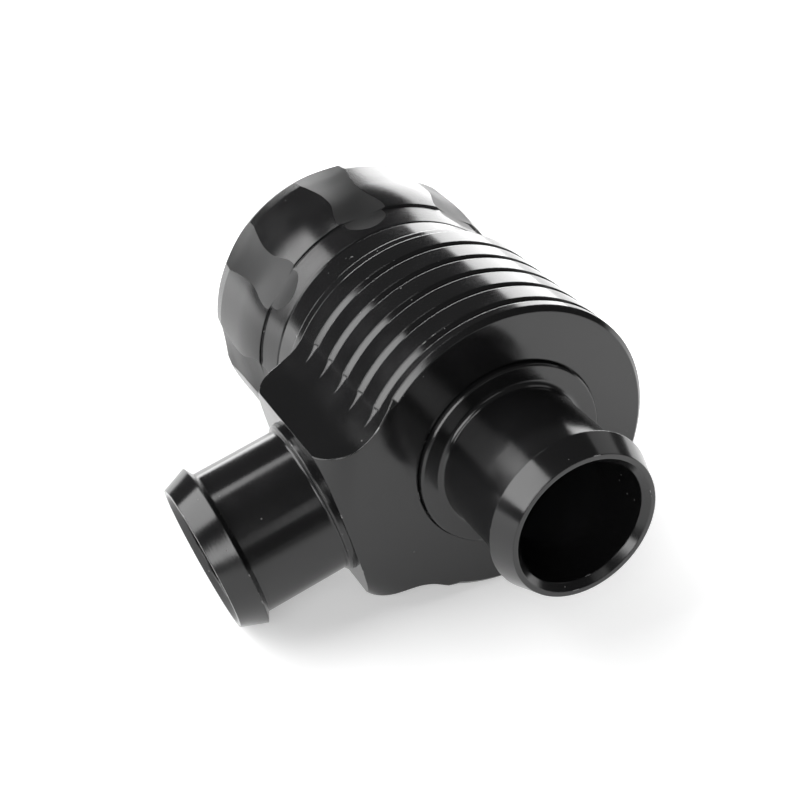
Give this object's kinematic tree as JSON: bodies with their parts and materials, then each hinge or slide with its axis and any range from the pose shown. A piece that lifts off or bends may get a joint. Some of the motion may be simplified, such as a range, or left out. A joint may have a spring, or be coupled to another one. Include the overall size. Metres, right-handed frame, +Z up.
{
  "type": "blow off valve",
  "caption": "Piston blow off valve with a ribbed body, beaded inlet and side hose spigots, a scalloped screw cap and a spring-loaded piston that vents boost air to the side spigot.",
  "frame": {"origin": "On the floor, at the middle of the outer box.", "axes": "+Y runs along the main axis from inlet mouth to cap, +Z is up, and the side spigot points to -X and slopes down to the floor."},
  "size_m": [0.0768, 0.1046, 0.051],
  "materials": {
    "black_anodised": "turned and milled aluminium, satin black anodised",
    "hard_anodised": "turned aluminium, grey hard anodised",
    "plain_aluminium": "plain turned aluminium",
    "spring_steel": "drawn spring wire",
    "rubber": "moulded black nitrile rubber"
  },
  "bodies": {
    "housing": {"valve_body": "black_anodised", "inlet_spigot": "black_anodised", "inlet_spigot_seal": "rubber", "outlet_spigot": "black_anodised", "outlet_spigot_seal": "rubber", "return_spring": "spring_steel"},
    "plunger": {"piston": "hard_anodised", "piston_ring_lower": "rubber", "piston_ring_upper": "rubber", "piston_nose_seal": "rubber"},
    "cap_ring": {"cap_seal": "rubber"},
    "cap": {"top_cap": "black_anodised", "vacuum_nipple": "black_anodised", "nipple_washer": "plain_aluminium", "spring_shim": "plain_aluminium"}
  },
  "joints": [
    {"name": "piston_slide", "type": "slide", "parent": "housing", "child": "plunger", "axis": [0, 1, 0], "range_m": [0, 0.011], "stiffness_N_per_m": 2000, "springref_m": -0.01, "deforming": ["return_spring"]},
    {"name": "cap_lift", "type": "slide", "parent": "housing", "child": "cap_ring", "axis": [0, 1, 0], "range_m": [0, 0.006]},
    {"name": "cap_turn", "type": "hinge", "parent": "cap_ring", "child": "cap", "pos_m": [0.01286, 0.02013, 0.0255], "axis": [0, 1, 0], "range_deg": [0, 1440]}
  ],
  "couplings": [
    {"joint": "cap_lift", "follows": "cap_turn", "m_per_rad": 0.00023873}
  ]
}
